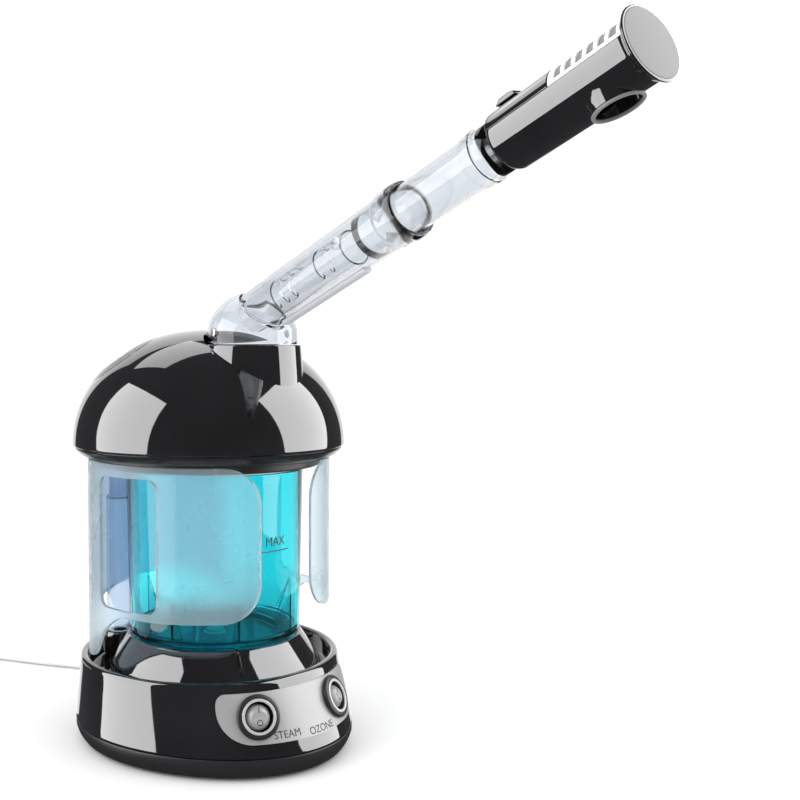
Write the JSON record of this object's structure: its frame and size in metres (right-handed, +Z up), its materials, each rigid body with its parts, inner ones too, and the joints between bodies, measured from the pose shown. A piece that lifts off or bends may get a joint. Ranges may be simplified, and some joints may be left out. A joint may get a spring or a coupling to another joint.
{
  "type": "facial steamer",
  "caption": "Tabletop facial steamer: clear tank behind a frosted sleeve on a black base, domed lid with a swivelling, telescoping steam arm and rocker switches.",
  "frame": {"origin": "on the table, straight under the centre of the dome and sleeve", "axes": "+Z up, -Y towards the front where the switches and the steam arm are, +X to the right of someone who stands in front and faces it"},
  "size_m": [0.2208, 0.5843, 0.3339],
  "materials": {
    "black_gloss": "high-gloss moulded black",
    "black_satin": "satin black",
    "grey_satin": "satin dark grey",
    "silver_satin": "satin silver paint on plastic",
    "grey_disc": "satin grey",
    "teal_clear": "clear tinted teal",
    "clear_plastic": "clear",
    "frosted": "frosted translucent",
    "steel": "plain",
    "aluminium": "cast",
    "brass": "plain",
    "rubber": "plain",
    "silicone": "soft silicone",
    "white_plastic": "smooth white",
    "circuit_board": "green laminate",
    "lamp_glass": "clear glass"
  },
  "bodies": {
    "base": {"base_shell": "black_gloss", "bottom_plate": "black_satin", "rubber_foot_1": "rubber", "rubber_foot_2": "rubber", "rubber_foot_3": "rubber", "rubber_foot_4": "rubber", "case_screw_1": "steel", "case_screw_2": "steel", "case_screw_3": "steel", "case_screw_4": "steel", "control_plate": "silver_satin", "steam_switch_housing": "black_satin", "ozone_switch_housing": "black_satin", "tank_seat": "black_gloss", "boiler": "aluminium", "heating_element": "steel", "thermostat": "black_satin", "water_inlet_seal": "silicone", "riser_socket": "black_satin", "steam_riser": "frosted", "steam_hose": "silicone", "circuit_board": "circuit_board", "ozone_lamp": "lamp_glass", "lamp_holder": "white_plastic", "frosted_sleeve": "frosted", "strain_relief": "white_plastic", "power_cord": "white_plastic", "cord_coil": "white_plastic", "plug_body": "white_plastic", "plug_pin_1": "brass", "plug_pin_2": "brass"},
    "tank": {"water_tank": "teal_clear", "tank_valve": "white_plastic", "tank_gasket": "silicone"},
    "dome": {"dome_shell": "black_gloss", "dome_trim_ring": "grey_satin", "rear_lens": "clear_plastic", "dome_collar": "black_satin", "dome_floor": "white_plastic", "riser_grommet": "silicone", "steam_duct": "silicone", "swivel_seal": "silicone"},
    "arm": {"elbow": "clear_plastic", "elbow_screw_1": "steel", "elbow_screw_2": "steel", "lower_tube": "clear_plastic", "steam_liner": "clear_plastic", "tube_collar": "clear_plastic", "lock_button": "clear_plastic"},
    "extension": {"upper_tube": "clear_plastic", "neck_ring": "clear_plastic"},
    "head": {"head_shell": "black_gloss", "nozzle_ring": "grey_disc", "top_strip": "black_gloss", "grille_window": "clear_plastic", "thumb_tab": "black_gloss"},
    "scent_cap": {"end_cap": "grey_disc", "aroma_basket": "white_plastic"},
    "steam_key": {"steam_rocker": "silver_satin"},
    "ozone_key": {"ozone_rocker": "silver_satin"}
  },
  "joints": [
    {"name": "dome_lift", "type": "slide", "parent": "base", "child": "dome", "axis": [0, 0, 1], "range_m": [0, 0.26]},
    {"name": "tank_lift", "type": "slide", "parent": "base", "child": "tank", "axis": [0, 0, 1], "range_m": [0, 0.12]},
    {"name": "arm_swivel", "type": "hinge", "parent": "dome", "child": "arm", "pos_m": [0, -0.0376, 0.2161], "axis": [0, 0, 1], "continuous": true},
    {"name": "arm_extend", "type": "slide", "parent": "arm", "child": "extension", "axis": [-0.0998, -0.9341, 0.3428], "range_m": [-0.042, 0]},
    {"name": "head_roll", "type": "hinge", "parent": "extension", "child": "head", "pos_m": [-0.01897, -0.21507, 0.29594], "axis": [-0.0998, -0.9341, 0.3428], "range_deg": [-90, 90]},
    {"name": "cap_pull", "type": "slide", "parent": "head", "child": "scent_cap", "axis": [-0.0998, -0.9341, 0.3428], "range_m": [0, 0.03]},
    {"name": "steam_rock", "type": "hinge", "parent": "base", "child": "steam_key", "pos_m": [-0.02627, -0.07137, 0.03014], "axis": [0.9133, -0.4064, 0.0255], "range_deg": [-10, 0]},
    {"name": "ozone_rock", "type": "hinge", "parent": "base", "child": "ozone_key", "pos_m": [0.02283, -0.07288, 0.03011], "axis": [0.9283, 0.3705, -0.0308], "range_deg": [-10, 0]}
  ],
  "couplings": [
    {"joint": "tank_lift", "follows": "dome_lift", "ratio": 0.46}
  ]
}
